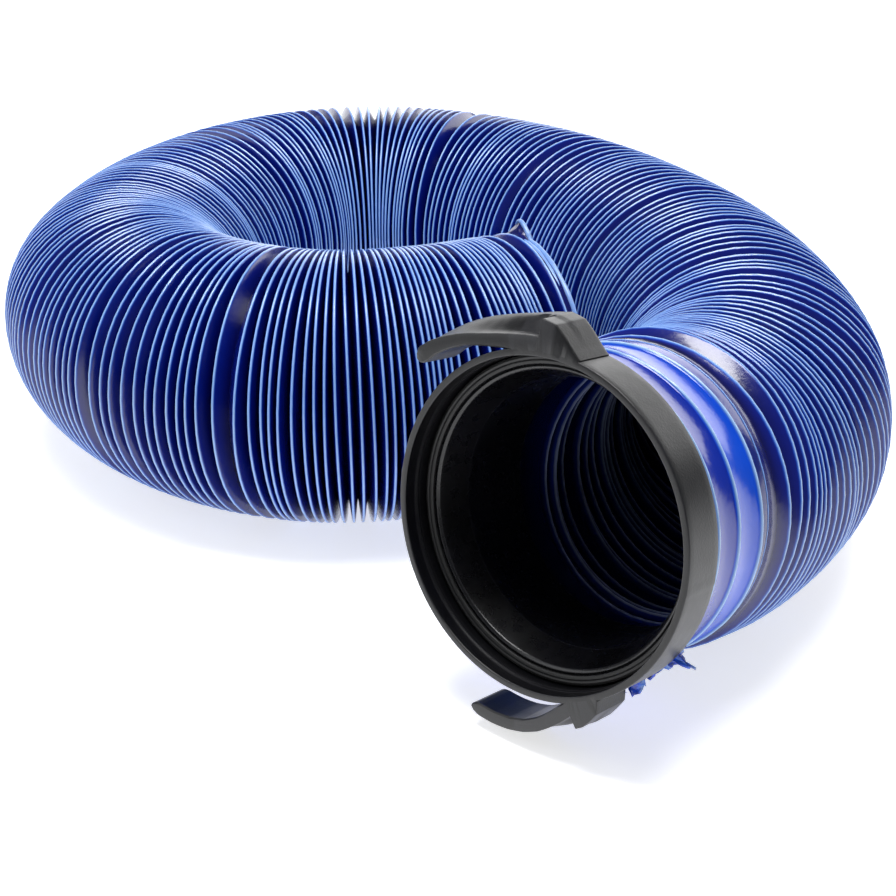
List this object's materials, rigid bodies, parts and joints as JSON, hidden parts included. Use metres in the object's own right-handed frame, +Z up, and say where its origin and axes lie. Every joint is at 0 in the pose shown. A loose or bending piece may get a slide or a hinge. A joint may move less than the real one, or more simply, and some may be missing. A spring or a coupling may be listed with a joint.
{
  "type": "rv sewer hose kit",
  "caption": "Collapsed pleated drain hose lying in an open loop, with a twist-lock bayonet fitting on one end.",
  "frame": {"origin": "middle of the footprint on the ground that the hose lies on", "axes": "+Z up; -Y is the side that the fitting's mouth opens to; +X to the right of someone looking into the mouth"},
  "size_m": [0.4107, 0.316, 0.1261],
  "materials": {
    "black_plastic": "satin moulded",
    "black_rubber": "matt",
    "blue_vinyl": "glossy film",
    "pale_vinyl": "glossy stretched film"
  },
  "bodies": {
    "hose": {"hose_film": "blue_vinyl", "hose_wire": "pale_vinyl", "hose_cuff": "pale_vinyl", "film_scraps": "blue_vinyl", "hose_adapter": "black_plastic", "face_gasket": "black_rubber"},
    "bayonet": {"bayonet_ring": "black_plastic"}
  },
  "joints": [
    {"name": "ring_turn", "type": "hinge", "parent": "hose", "child": "bayonet", "pos_m": [0.157, -0.148, 0.067], "axis": [0, -0.987, 0.1607], "continuous": true}
  ]
}
